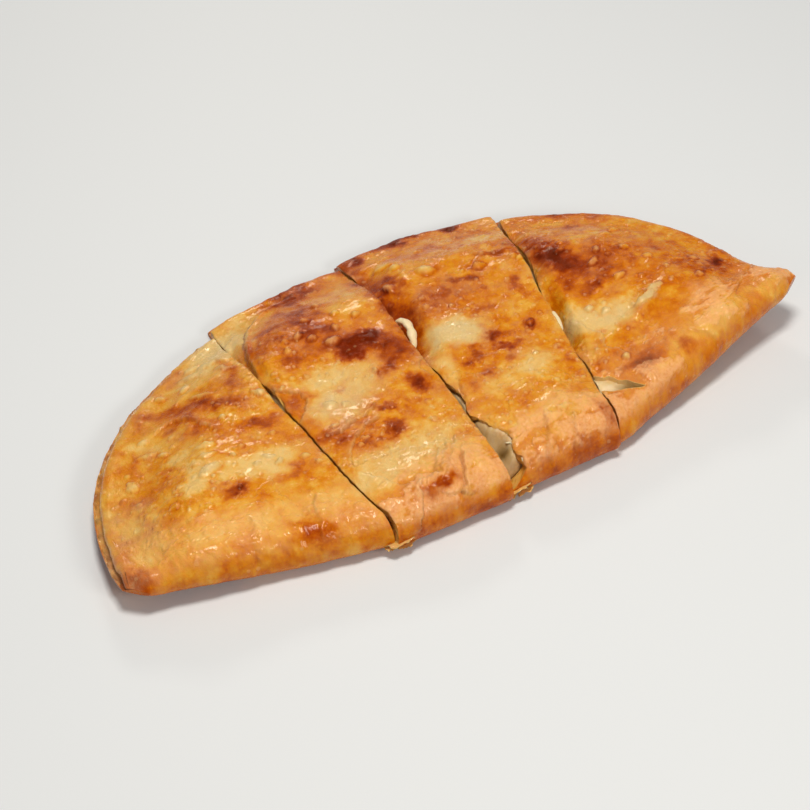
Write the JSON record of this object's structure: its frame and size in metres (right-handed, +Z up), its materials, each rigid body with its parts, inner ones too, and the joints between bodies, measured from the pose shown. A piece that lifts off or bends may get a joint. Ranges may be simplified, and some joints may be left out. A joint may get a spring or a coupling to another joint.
{
  "type": "stuffed flatbread",
  "caption": "Half-moon fried flatbread, folded over a soft white cheese filling and cut into slices that lie together.",
  "frame": {"origin": "on the floor, under the middle of the bread", "axes": "X along the fold, +Y from the fold towards the sealed curved edge, +Z up"},
  "size_m": [0.2837, 0.148, 0.0241],
  "materials": {
    "crust": "fried dough, golden to dark brown, with an oily sheen",
    "filling": "soft white cheese, moist"
  },
  "bodies": {
    "root": {"slice_1_crust": "crust", "slice_1_filling": "filling", "slice_2_crust": "crust", "slice_2_filling": "filling", "slice_3_crust": "crust", "slice_3_filling": "filling", "slice_4_crust": "crust", "slice_4_filling": "filling"}
  },
  "joints": []
}
